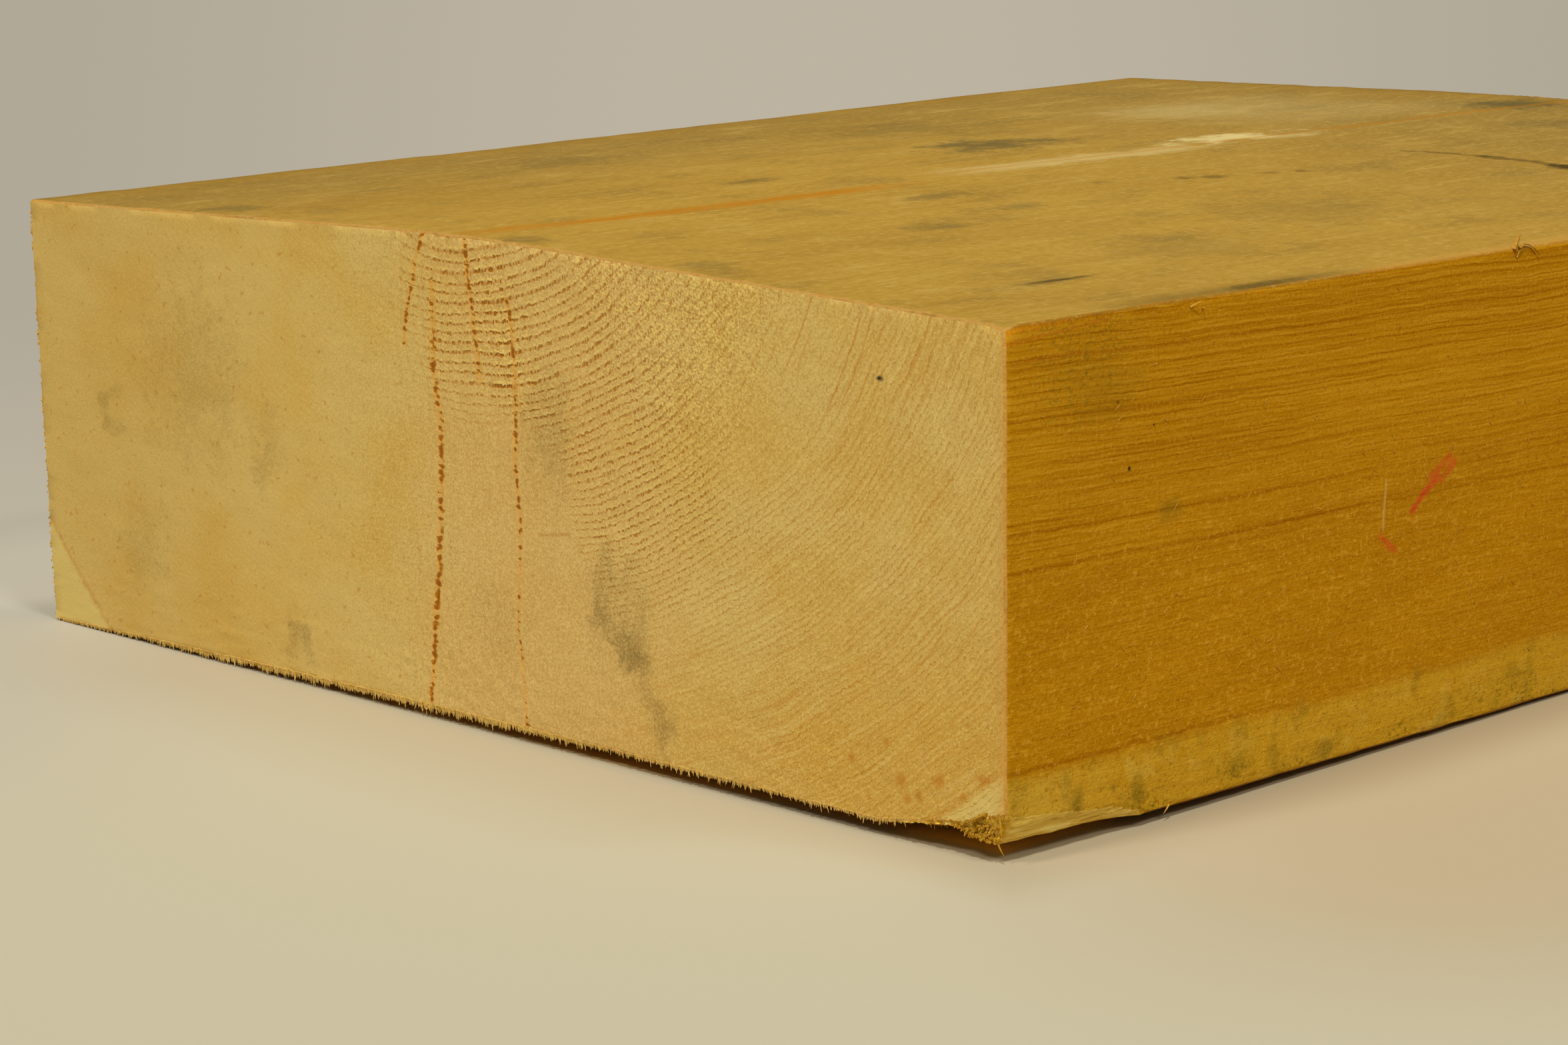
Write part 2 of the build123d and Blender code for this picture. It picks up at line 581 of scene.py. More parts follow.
        pits = g.grain(x / 1.4, 7.7, z / 0.8, 0.0)
        gape: Term | float = 99.0
        for check in checks.all():
            for ends in check.legs():
                gape = g.smaller(gape, g.reach(x, z, ends) / check.width)
        middle_run = z.step(56, 48) * z.step(14, 22) * x.step(2, -2)
        sparse = z.step(50, 38) * x.step(2, 6)
        bead = 0.58 - pits + (middle_run * -0.06 + sparse * 0.05)
        bead = gape + g.larger(bead * 9.0, -0.8) + ragged * 2.2
        seam = gape + ragged * 2.2
        g.tint(self.check_rim, seam.step(2.6, 0.4) * (sparse * -0.1 + 0.5))
        near = y.step(0, -10)
        # Painted shade: the open splits get a dark brown core and a softer edge tone, standing in for the
        # shade deep inside the cracks; the mesh's grooves are only a few tenths of a millimetre deep.
        open_ = bead.step(1.4, 0.4) * near
        split = g.mix(bead.step(0.7, -0.5), self.check_edge_shade, self.check)
        g.colour = g.mix(near, bare, g.mix(open_ * 0.95, g.colour, split))

        height = fine * 0.3 + crumb * rough * 0.8 - torn * 0.6 - open_ * 0.8
        return g.close(0.85, 0.12, height, self.relief)


@dataclass(frozen=True)
class EdgeGrain:
    """A sawn edge of the plank: fine lengthwise grain, a sapwood band below, and a crayon mark."""

    base: Colour = paint(187, 129, 13)
    light: Colour = paint(204, 150, 34)
    dark: Colour = paint(163, 105, 5)
    line: Colour = paint(146, 82, 1)
    sapwood: Colour = paint(196, 152, 36)
    sap_light: Colour = paint(206, 168, 62)
    mould: Colour = paint(112, 92, 22)
    wool: Colour = paint(212, 158, 46)
    crayon: Colour = paint(204, 66, 34)
    scratch: Colour = paint(214, 176, 96)
    speck: Colour = paint(40, 26, 4)
    rust: Colour = paint(182, 102, 16)
    slope: float = 0.0275
    seam_height: float = 10.9
    seam_slope: float = -0.017
    relief: float = 0.22
    lines: tuple[Triple, ...] = (
        (42.1, 0.5, 0.7), (47.3, 0.45, 0.5), (40.6, 0.4, 0.25), (63.0, 0.4, 0.4), (71.3, 0.45, 0.45),
        (53.6, 0.4, 0.25),
    )
    rusts: tuple[Drag, ...] = (
        (((-151.0, 76.2), (-136.0, 76.4)), 0.9, 0.35), (((-151.0, 74.2), (-128.0, 75.6)), 0.5, 0.5),
        (((-148.0, 71.8), (-134.0, 71.6)), 0.4, 0.3),
    )
    scratches: tuple[Drag, ...] = ((((-61.9, 43.1), (-62.4, 35.5)), 0.35, 0.45),)
    crayons: tuple[Drag, ...] = (
        (((-54.8, 37.2), (-52.0, 39.6)), 0.7, 0.9), (((-52.0, 39.6), (-48.6, 41.6)), 1.5, 0.85),
        (((-50.8, 41.8), (-45.4, 44.4)), 1.1, 0.55), (((-47.6, 41.0), (-44.0, 43.4)), 1.0, 0.6),
        (((-63.0, 34.3), (-59.6, 31.9)), 1.0, 0.6),
    )
    moulds: tuple[Dab, ...] = (
        ((-130.0, 66.0), (14.0, 9.0), 0.2), ((-114.2, 46.6), (4.5, 2.6), 0.5),
        ((-134.3, 6.4), (2.2, 3.4), 0.75), ((-120.8, 4.9), (2.4, 3.0), 0.75),
        ((-126.4, 7.3), (1.0, 0.9), 0.6), ((-98.0, 5.0), (4.0, 3.0), 0.5), ((-76.0, 3.5), (5.0, 2.4), 0.5),
    )
    mites: tuple[Dab, ...] = (
        ((-123.3, 53.5), (0.55, 0.55), 1.0), ((-117.9, 59.1), (0.36, 0.36), 0.8),
        ((-126.0, 63.4), (0.5, 0.5), 0.6), ((-132.8, 68.4), (0.5, 0.5), 0.5),
    )

    def dress(self) -> Material:
        """Make the material.

        Returns:
            The material.
        """
        g = Graph("edge_grain")
        x, y, z = g.millimetres()
        drift = g.grain(y / 55, 0.4, z / 30, 1.0) - 0.5
        quiver = g.grain(y / 4.5, 4.4, z / 5.0, 2.0, 0.6) - 0.5
        level = z + (y + 150.0) * self.slope + (drift * 2.4 + quiver * 0.5)
        tone = g.grain(y / 40, 2.0, z / 16, 3.0)
        fibre = g.grain(level / 0.28, y / 5.0, x / 20, 2.0, 0.65)
        fuzz = g.grain(z / 0.5, y / 0.62, 6.0, 2.0, 0.7)
        curls = g.grain(z / 0.9, y / 1.2, 3.3, 2.0, 0.75)
        fray = fuzz - 0.5 + quiver * 1.4

        top = z.step(30, 60)
        g.colour = g.mix(tone.step(0.3, 0.7), self.base, g.mix(0.4, self.base, self.dark))
        g.tint(self.light, fibre.step(0.5, 0.75) * 0.5)
        g.tint(self.dark, fibre.step(0.5, 0.25) * 0.5)
        veins = g.grain(level / 0.42, y / 60, x / 20, 2.0, 0.6)
        rows = level / 1.28 + (tone - 0.5) * 1.8
        band = rows.fraction()
        row = rows.floor()
        depth = g.grain(row * 3.3, y / 45, 1.0, 2.0, 0.6)
        thin = band.step(0.62, 0.86) * band.step(1.0, 0.92) * (depth.step(0.38, 0.64) * 0.75 + 0.15)
        thin *= top * 0.34 + 0.12
        g.tint(self.line, thin)
        upward = top * 0.6 + 0.4
        g.tint(self.line, veins.step(0.54, 0.66) * upward * 0.4)
        g.tint(self.light, veins.step(0.46, 0.34) * upward * 0.45)
        g.tint(self.light, band.step(0.1, 0.26) * band.step(0.46, 0.3) * top * 0.3)
        broken = (depth.step(0.36, 0.52) * 0.6 + 0.4) * (y.step(-50, -100) * 0.6 + 0.4)
        for at, width, share in self.lines:
            g.tint(self.line, abs(level - at).step(width, 0.1) * broken * share)
        g.drags(self.rust, y, z, self.rusts, fray)

        edge = self.seam_height + quiver * 1.2 + y * self.seam_slope
        edge += (tone - 0.5) * 6.0 * y.step(-110, -60)
        inside = edge - z
        g.tint(self.sapwood, inside.step(-0.3, 2.2) * 0.75)
        mottle = g.grain(y / 8.0, 7.0, z / 6.0, 3.0, 0.6)
        in_sap = inside.step(0.5, 3.0)
        g.tint(self.sap_light, mottle.step(0.52, 0.66) * in_sap * 0.5)
        g.tint(self.sap_light, in_sap * y.step(-124, -140) * 0.4)
        drips = g.grain(y / 3.4, 3.0, z / 12, 2.0, 0.6)
        drips = in_sap * inside.step(9.0, 2.0) * drips.step(0.5, 0.66)
        g.tint(self.base, drips * 0.4)
        g.tint(self.line, abs(inside).step(0.5, 0.1) * y.step(-70, -110) * 0.5)
        streaks = g.grain(y / 5.0, 8.0, z / 9, 3.0, 0.6)
        streaks = streaks.step(0.52, 0.68) * inside.step(-4.0, 3.0)
        g.tint(self.mould, streaks * fuzz.step(0.38, 0.56) * 0.5)
        specks = g.grain(y / 1.2, 5.0, z / 0.8, 3.0, 0.75)
        clump = g.grain(y / 8.0, 1.5, z / 7.0, 2.0).step(0.44, 0.6)
        high = y.step(-116, -128) * y.step(-150, -140) * z.step(57, 66)
        specks = specks.step(0.5, 0.6) * g.larger(clump, high) * (z.step(9.0, 3.0) * 0.8 + high * 0.4)
        g.tint(self.mould, specks)

        woolly = z.step(64, 30) * y.step(40, -70)
        g.tint(self.wool, curls.step(0.55, 0.7) * (woolly * 0.5 + 0.12))
        g.tint(self.dark, curls.step(0.43, 0.3) * (woolly * 0.45 + 0.1))
        g.tint(self.wool, fuzz.step(0.55, 0.72) * 0.5)
        g.tint(self.line, fuzz.step(0.45, 0.28) * 0.5)

        bare = g.colour
        g.drags(self.crayon, y, z, self.crayons, fray, fuzz.step(0.36, 0.5))
        g.drags(self.scratch, y, z, self.scratches, fray)
        g.dabs(self.mould, y, z, self.moulds, fray, fuzz.step(0.36, 0.52) * 0.7 + 0.3)
        g.dabs(self.speck, y, z, self.mites, 0.0)
        g.colour = g.mix(x.step(-10, 10), bare, g.colour)

        height = fuzz * 0.4 + curls * woolly * 0.6 + fibre * 0.3 - thin * 0.3
        return g.close(0.85, 0.0, height, self.relief)


@dataclass(frozen=True)
class TopGrain:
    """The wide face: greyed by handling and weather, with a resin streak along the pith side."""

    base: Colour = paint(171, 132, 50)
    light: Colour = paint(189, 155, 76)
    dark: Colour = paint(150, 111, 36)
    far: Colour = paint(134, 107, 50)
    grey: Colour = paint(102, 86, 44)
    resin: Colour = paint(176, 112, 14)
    pale: Colour = paint(208, 186, 120)
    rubbed: Colour = paint(188, 140, 60)
    speck: Colour = paint(92, 72, 30)
    slash: Colour = paint(60, 46, 16)
    spots: tuple[Dab, ...] = (
        ((-31.0, 10.0), (15.0, 21.0), 0.8), ((-21.3, -64.7), (5.0, 9.0), 0.6),
        ((18.0, -59.0), (4.5, 13.0), 0.55), ((42.5, -84.7), (5.0, 11.0), 0.5),
        ((34.6, -58.0), (4.5, 8.0), 0.5), ((12.0, -146.0), (5.0, 5.0), 0.5),
        ((50.0, -144.0), (8.0, 7.0), 0.4), ((-66.0, -142.0), (8.0, 7.0), 0.5),
        ((2.0, 135.0), (12.0, 16.0), 0.95), ((26.0, 112.0), (10.0, 14.0), 0.4),
        ((-80.0, -55.0), (14.0, 20.0), 0.35), ((-70.0, 30.0), (22.0, 28.0), 0.3),
        ((66.0, -20.0), (22.0, 30.0), 0.25), ((80.0, -70.0), (16.0, 22.0), 0.25),
    )
    flecks: tuple[tuple[Pair, float], ...] = (
        ((29.5, -8.0), 0.6), ((31.5, -2.0), 0.6), ((34.8, 10.0), 0.4), ((36.5, 16.6), 0.55),
        ((24.0, -24.0), 0.3),
    )
    fleck_size: Pair = (2.2, 3.2)
    worn_spot: tuple[Dab, ...] = (((-3.5, 44.0), (7.5, 18.0), 0.9),)
    pale_spots: tuple[Dab, ...] = (((-46.0, 84.0), (20.0, 28.0), 0.22), ((2.6, 56.0), (4.5, 13.0), 0.4))
    wedge: tuple[Dab, ...] = (((90.4, -113.0), (1.2, 12.5), 0.8),)
    wedge_halo: tuple[Dab, ...] = (((90.0, -118.0), (5.0, 14.0), 0.3),)
    smear: tuple[Dab, ...] = (((111.6, -91.0), (2.6, 13.0), 0.5),)
    relief: float = 0.3
    slashes: tuple[Drag, ...] = (
        (((31.0, 55.0), (44.4, 61.3)), 1.8, 0.5), (((44.4, 61.3), (62.5, 61.7)), 2.6, 0.55),
        (((62.0, 61.5), (86.0, 60.0)), 4.6, 0.75),
    )

    def dress(self) -> Material:
        """Make the material.

        Returns:
            The material.
        """
        g = Graph("top_grain")
        x, y, z = g.millimetres()
        drift = g.grain(y / 80, 0.4, x / 30, 1.0) - 0.5
        level = x + drift * 6.0
        tone = g.grain(y / 70, 2.0, x / 22, 3.0)
        lines = g.grain(level / 2.2, y / 26, 0.0, 3.0, 0.6)
        fibre = g.grain(level / 0.5, y / 3.0, 0.0, 2.0, 0.65)
        fuzz = g.grain(x / 1.2, y / 1.8, 6.0, 3.0, 0.7)
        soft = g.grain(x / 6.0, y / 9.0, 1.0, 3.0, 0.6) - 0.5
        patch = g.grain(x / 11.0, y / 20.0, 4.0, 3.0, 0.6)
        fray = (fuzz - 0.5) * 0.8 + soft * 2.0
        away = g.larger(y.step(-40, 130), x.step(-20, -108))
        g.colour = g.mix(away * 0.75, self.base, self.far)
        g.tint(self.dark, tone.step(0.45, 0.72) * 0.4)
        g.tint(self.grey, patch.step(0.52, 0.7) * 0.3)
        g.tint(self.light, patch.step(0.46, 0.3) * 0.3)
        g.tint(self.dark, lines.step(0.52, 0.7) * 0.32)
        g.tint(self.light, lines.step(0.46, 0.32) * 0.3)
        g.tint(self.light, fuzz.step(0.52, 0.7) * 0.5)
        g.tint(self.dark, fuzz.step(0.46, 0.3) * 0.5)
        g.tint(self.light, fibre.step(0.5, 0.75) * 0.45)
        g.tint(self.dark, fibre.step(0.5, 0.28) * 0.45)

        bare = g.colour
        pith = y.step(-152, -112) * 3.4 - 1.0 + y.step(-120, -60) * 0.8
        off = abs(x - (pith + fray * 0.8))
        resin = off.step(4.6, 0.2) * y.step(-40, -72) * y.step(-160, -130)
        g.tint(self.resin, resin * (lines.step(0.3, 0.6) * 0.4 + 0.5))
        thin = abs(x - ((y - 45.0) * 0.026 + fray + 0.5))
        g.tint(self.dark, thin.step(1.6, 0.3) * y.step(38, 60) * 0.5)
        streak = abs(x - (fray * 4.0 - 2.0 + (y + 24.0) * 0.06))
        g.tint(self.pale, streak.step(6.5, 1.0) * y.step(-44, -16) * y.step(40, 20) * 0.5)
        g.dabs(self.pale, x, y, self.worn_spot, fray * 1.5)
        g.dabs(self.pale, x, y, self.pale_spots, fray)

        g.dabs(self.grey, x, y, self.spots, fray)
        for at, share in self.flecks:
            g.tint(self.speck, g.spot(x, y, at, self.fleck_size, fray) * share)
        g.drags(self.slash, x, y, self.slashes, fray)
        g.dabs(self.slash, x, y, self.wedge, fray * 0.3)
        g.dabs(self.grey, x, y, self.wedge_halo, fray)
        ridge = abs(x - ((y + 40.0) * 0.045 + fray - 3.0))
        g.tint(self.resin, ridge.step(1.8, 0.3) * y.step(-50, -30) * 0.4)
        faded = x.step(4, -16) * y.step(56, 90) * y.step(138, 110)
        g.tint(self.pale, faded * x.step(-80, -50) * 0.15)
        rubbed = (x + fray * 0.7).step(109.6, 111.6) * y.step(-74, -50)
        g.tint(self.rubbed, rubbed * 0.5)
        arris = y.step(-136, -112) * y.step(-60, -80) * (x + fray * 1.6).step(107, 111.5)
        g.tint(self.speck, arris * 0.45)
        g.dabs(self.slash, x, y, self.smear, fray)
        g.colour = g.mix(z.step(20, 50), bare, g.colour)
        rim = g.larger(x.step(-98, -112), y.step(134, 149))
        g.tint(self.dark, rim * 0.45)
        height = fibre * 0.4 + fuzz * 0.5 + lines * 0.4
        return g.close(0.85, 0.05, height, self.relief)


@dataclass(frozen=True)
class TornWood:
    """Wood split along the grain: pale lengthwise facets, and ochre broken fibre ends at the corner."""

    base: Colour = paint(228, 190, 82)
    light: Colour = paint(242, 214, 122)
    dark: Colour = paint(190, 142, 42)
    ends: Colour = paint(196, 144, 24)
    near_y: float = -149.0
    relief: float = 0.3

    def dress(self) -> Material:
        """Make the material.

        Returns:
            The material.
        """
        g = Graph("torn_wood")
        x, y, z = g.millimetres()
        facets = g.grain(x / 0.8, y / 14, z / 0.8, 3.0, 0.6)
        crumb = g.grain(x / 0.7, y / 1.5, z / 0.7, 3.0, 0.7)
        g.colour = g.mix(facets.step(0.5, 0.68), self.base, self.light)
        g.tint(self.dark, facets.step(0.46, 0.32) * 0.8)
        broken = g.mix(crumb.step(0.42, 0.62), self.ends, self.base)
        g.tint(broken, y.step(self.near_y + 1.5, self.near_y))
        g.tint(self.dark, y.step(-124.0, -121.0) * 0.5)
        return g.close(0.85, 0.1, facets + crumb, self.relief)


@dataclass(frozen=True)
class PlainFibre:
    """Worn arrises and raised fibres: one tone at the near end, with painted shade on its top arris, and two
    more along the plank's edge.
    """

    name: str
    base: Colour
    light: Colour
    dark: Colour
    along: Colour
    away: Colour
    top_arris_shade: Colour
    broken: Colour
    end_y: float = -147.5
    crest_z: float = 74.4
    tear_x: float = 99.0
    tear_z: float = 5.0
    tear_share: float = 0.75
    relief: float = 0.2

    def dress(self) -> Material:
        """Make the material.

        Returns:
            The material.
        """
        g = Graph(self.name)
        x, y, z = g.millimetres()
        tone = g.grain(x / 0.8, y / 1.6, z / 0.8, 3.0, 0.6)
        edge = g.mix(y.step(-90, -60), self.along, self.away)
        # Painted shade: the top arris, which faces the key light, is given its own tone, darker on the worn
        # arris.
        near = g.mix(z.step(self.crest_z, self.crest_z + 1), self.base, self.top_arris_shade)
        g.colour = g.mix(y.step(self.end_y - 1, self.end_y), near, edge)
        g.tint(self.light, tone.step(0.5, 0.7) * 0.4)
        g.tint(self.dark, tone.step(0.48, 0.28) * 0.6)
        tear = x.step(self.tear_x - 2, self.tear_x) * z.step(self.tear_z + 1, self.tear_z)
        tear *= y.step(self.end_y, self.end_y - 1)
        g.tint(self.broken, tear * self.tear_share)
        return g.close(0.85, 0.1, tone, self.relief)


@dataclass(frozen=True)
class Check:
    """One narrow split in the end grain, from its upper end to its lower end."""

    path: tuple[Pair, ...]
    width: float
    depth: float

    def legs(self) -> list[Ends]:
        """The straight stretches of the path."""
        return list(zip(self.path, self.path[1:]))

    def depth_at(self, x: float, z: float) -> float:
        """How deep the split is at a place on the end face.

        Args:
            x: Across the plank, in millimetres.
            z: Height, in millimetres.

        Returns:
            Depth in millimetres, 0 beside the split.
        """
        place, near = Vector((x, z)), 1e9
        for a, b in self.legs():
            start, run = Vector(a), Vector(b) - Vector(a)
            along = min(1.0, max(0.0, (place - start).dot(run) / run.length_squared))
            near = min(near, (place - start - run * along).length)
        if near > 2 * self.width:
            return 0.0
        half = self.width * max(0.45 + noise.noise(Vector((x * 0.5, z * 0.75, 4.0))) * 1.3, 0.0)
        return self.depth * ease(half - near, 0.0, 0.5) if half > 0.05 else 0.0


@dataclass(frozen=True)
class Checks:
    """The heart checks of the near end."""

    long: Check = Check(((-6.6, 71.0), (-6.6, 57.0), (-5.1, 48.6), (-5.4, 36.3), (-6.2, 26.0),
                         (-7.7, 12.7), (-8.8, 1.8)), 0.4, 0.4)
    right: Check = Check(((10.9, 70.0), (12.0, 66.0), (12.6, 57.0), (12.4, 45.0), (13.2, 33.0),
                          (12.4, 19.0), (13.8, 6.0), (14.1, 2.4)), 0.29, 0.3)
    centre: Check = Check(((1.2, 78.6), (2.1, 72.0), (3.4, 64.0), (4.4, 57.0)), 0.34, 0.35)
    left: Check = Check(((-8.6, 78.6), (-10.4, 74.6), (-11.0, 71.5), (-12.8, 66.0), (-13.8, 60.5)), 0.26, 0.3)

    def all(self) -> tuple[Check, ...]:
        """Every check."""
        return (self.long, self.right, self.centre, self.left)


@dataclass(frozen=True)
class Tear:
    """The torn lower right arris at the near end: a notch under the end face, a recessed mass and a strip.

    Insets are measured in from the right side and heights up from the underside, in millimetres.
    """

    reach: float = 24.5
    length: float = 30.0
    knee_inset: float = 2.4
    recess: float = 0.5
    mass_inset: float = 9.0
    clean_edge: tuple[Pair, ...] = (
        (0.0, 5.6), (0.8, 5.1), (2.9, 4.7), (4.6, 4.4), (6.6, 3.3), (9.2, 2.6), (16.0, 1.6), (24.5, 0.0),
    )
    under_edge: tuple[Pair, ...] = (
        (0.0, 1.2), (2.4, 0.8), (7.4, 1.0), (9.2, 2.4), (16.0, 1.5), (24.5, 0.0),
    )
    side_edge: tuple[Pair, ...] = (
        (0.0, 1.0), (4.6, 0.84), (11.2, 0.72), (19.6, 0.56), (26.9, 0.30), (30.0, 0.0),
    )
    notch_length: float = 14.0
    catch: float = 0.3

    def ceiling(self, inset: float, along: float) -> float:
        """Height below which the wood is torn.

        Args:
            inset: Distance in from the right side.
            along: Distance from the near end.

        Returns:
            The height, 0 beyond the tear.
        """
        if inset > self.reach or along > self.length:
            return 0.0
        ragged = 1 + 0.14 * noise.noise(Vector((inset * 1.3, along * 0.25, 5.0)))
        return between(inset, self.clean_edge) * between(along, self.side_edge) * ragged

    def shaped(self, place: Vector, half: float, near: float) -> Vector:
        """Move a point of the square bar onto the torn surface, if it is in the torn part.

        Args:
            place: The point.
            half: Half the bar's width.
            near: The bar's near end, along Y.

        Returns:
            Its place.
        """
        inset, along = half - place.x, place.y - near
        ceiling = self.ceiling(inset, along)
        if ceiling <= 0 or place.z >= ceiling + self.catch:
            return place
        if place.z > ceiling - self.catch:
            return Vector((place.x, place.y, max(ceiling, 0.0)))
        keep = between(along, self.side_edge)
        share = place.z / ceiling
        moved = self.knee_inset * keep * (1 - share) ** 1.3
        inset = moved + inset * (self.reach - moved) / self.reach
        notch = max(0.0, 1 - along / self.notch_length) if inset > self.mass_inset else 1.0
        under = between(inset, self.under_edge) * keep * notch
        under = max(0.0, under + 0.35 * noise.noise(Vector((inset * 0.9, along * 0.2, 1.0))) * keep)
        up = min(under + (ceiling - under) * share, ceiling)
        inner = ease(inset, self.mass_inset + 0.6, self.mass_inset - 0.8)
        crumble = 1 + 0.5 * noise.noise(Vector((inset * 1.1, 2.0, up * 1.1)))
        back = self.recess * inner * (1 - share ** 5) * crumble * max(0.0, 1 - along / 12)
        return Vector((half - inset, place.y + back, up))


@dataclass
class PlankBody:
    """The plank itself: a fine mesh of the CAD part's shape, with the relief that the saw and drying left."""

    length: float = 300.0
    width: float = 225.0
    thickness: float = 75.0
    arris: float = 0.45
    lean_left: float = 2.1
    lean_right: float = -0.2
    ridge_rise: float = 3.5
    ridge_x: float = -1.0
    ridge_soft: float = 22.0
    straight: float = 90.0
    lift: float = 2.1
    lift_power: float = 1.25
    hollow: float = 0.9
    shift_x: float = 1.386
    columns: int = 230
    rows: int = 70
    stations: int = 88
    across: tuple[Pair, ...] = ((0.0, -1.0), (0.17, -0.152), (0.60, 0.152), (0.78, 0.76), (1.0, 1.0))
    upward: tuple[Pair, ...] = ((0.0, 0.0), (0.24, 0.13), (1.0, 1.0))
    even_share: float = 0.3
    facing: float = 0.95
    sharp_degrees: float = 40.0
    knocked: Vector = field(default_factory=lambda: Vector((112.6, -150.0, 77.0)))
    knock: float = 3.2
    knock_push: Vector = field(default_factory=lambda: Vector((0.7, -0.4, 0.6)))
    knock_depth: float = 0.8
    tear: Tear = field(default_factory=Tear)
    checks: Checks = field(default_factory=Checks)

    @property
    def half(self) -> float:
        """Half the bar's width."""
        return self.width / 2

    @property
    def near(self) -> float:
        """The bar's near end, along Y."""
        return -self.length / 2

    def warp_share(self, y: float) -> float:
        """How far into the warp y is: 0 on the straight part, 1 at the near end."""
        return max(0.0, (self.length / 2 - self.straight - y) / (self.length - self.straight))

    def ridge_height(self, x: float) -> float:
        """Height of the top face above the nominal thickness, before the twist.

        Args:
            x: Across the plank, in millimetres.

        Returns:
            The height, in millimetres.
        """
        span = x - self.ridge_x
        reach = self.half + (self.lean_right if span > 0 else self.lean_left)
        reach += -self.ridge_x if span > 0 else self.ridge_x
        slope = self.ridge_rise / reach
        if abs(span) < self.ridge_soft:
            return self.ridge_rise - slope * (span * span / self.ridge_soft + self.ridge_soft) / 2
        return self.ridge_rise - slope * abs(span)

    def warped(self, place: Vector) -> Vector:
        """Move a point of the square-edged bar, in millimetres, to where it is on the real plank.

        Args:
            place: The point on the bar, which lies centred over the origin with its underside at 0.

        Returns:
            The point on the plank.
        """
        share = self.warp_share(place.y)
        up = place.z / self.thickness
        lean = (self.lean_right if place.x > 0 else self.lean_left) * up
        x = place.x * (1 + lean / self.half)
        hollow = self.hollow * share ** 2 * (1 - (place.x / self.half) ** 2)
        z = place.z + hollow * (1 - up) + self.ridge_height(x) * up
        angle = math.atan2(self.lift * share ** self.lift_power, self.width)
        turned = Matrix.Rotation(angle, 2) @ Vector((x + self.half, z))
        return Vector((turned.x - self.half + self.shift_x, place.y, turned.y))

    def crowd(self, place: Vector) -> Vector:
        """Slide a point along the bar, so that the net is finest at the checks, the tear and the near end.

        Args:
            place: The point in an even net.

        Returns:
            Its place on the same face of the bar.
        """
        half_x, half_y = self.half - self.arris, self.length / 2 - self.arris
        high = self.thickness - self.arris
        x, y, z = place
        if abs(x) < half_x:
            x = half_x * between((x + half_x) / (2 * half_x), self.across)
        if abs(y) < half_y:
            share = (y + half_y) / (2 * half_y)
            y = -half_y + 2 * half_y * (self.even_share * share + (1 - self.even_share) * share ** 2)
        if self.arris < z < high:
            rise = high - self.arris
            z = self.arris + rise * between((z - self.arris) / rise, self.upward)
        return Vector((x, y, z))

    def blank(self) -> bmesh.types.BMesh:
        """A square bar with eased arrises, cut into a fine net.

        Returns:
            The bar's bmesh, in millimetres, with each face's finish set.
        """
        bm = bmesh.new()
        bmesh.ops.create_cube(bm, size=1.0)
        bmesh.ops.scale(bm, vec=(self.width, self.length, self.thickness), verts=bm.verts)
        bmesh.ops.translate(bm, vec=(0, 0, self.thickness / 2), verts=bm.verts)
        bmesh.ops.bevel(bm, geom=list(bm.edges), offset=self.arris, segments=2, profile=0.5,
                        affect="EDGES", material=-1)
        for axis, pieces in ((0, self.columns), (2, self.rows), (1, self.stations)):
            size = (self.width, self.length, self.thickness)[axis]
            long_edges = [e for e in bm.edges
                          if abs(e.verts[0].co[axis] - e.verts[1].co[axis]) > size * 0.9]
            bmesh.ops.subdivide_edges(bm, edges=long_edges, cuts=pieces - 1)
        for vertex in bm.verts:
            vertex.co = self.crowd(vertex.co)
        for face in bm.faces:
            face.material_index = self.skin_of(face)
        return bm

    def skin_of(self, face: bmesh.types.BMFace) -> Skin:
        """Choose a face's finish.

        Args:
            face: A face of the bar.

        Returns:
            The finish.
        """
        middle = face.calc_center_median()
        if middle.z < self.tear.ceiling(self.half - middle.x, middle.y - self.near):
            return Skin.TORN
        for axis, skin in enumerate((Skin.EDGE_GRAIN, Skin.END_GRAIN, Skin.TOP_GRAIN)):
            if abs(face.normal[axis]) > self.facing:
                return skin
        return Skin.ARRIS

    def worn(self, place: Vector, normal: Vector, torn: bool) -> Vector:
        """Press a point in by the roughness that the saw left.

        Args:
            place: The point on the warped plank, in millimetres.
            normal: Its outward direction.
            torn: Whether it is on the torn arris.

        Returns:
            The point with its relief.
        """
        if torn:
            ridges = noise.noise(Vector((place.x * 0.8, place.y * 0.07, place.z * 1.1)))
            depth = 0.35 * (0.4 + ridges) + 0.2 * noise.noise(place * 1.3)
        elif abs(normal.y) > 0.9:
            depth = 0.12 * (0.5 + noise.noise(place * 0.8)) + 0.08 * (0.5 + noise.noise(place * 0.15))
            if normal.y < 0:
                depth += max(c.depth_at(place.x, place.z) for c in self.checks.all())
        else:
            stretched = Vector((place.x, place.y * 0.12, place.z))
            depth = 0.12 * (0.5 + noise.noise(stretched * 0.9)) + 0.14 * (0.5 + noise.noise(stretched * 0.12))
            corner = 1 - max(abs(normal.x), abs(normal.y), abs(normal.z))
            depth += corner * 0.6 * (0.4 + noise.noise(place * 0.5)) + corner * 0.6 * noise.noise(place * 1.9)
        knocked = self.knock_depth * ease((place - self.knocked).length, self.knock, 0.0)
        return place - normal * max(depth, 0.0) - self.knock_push * knocked

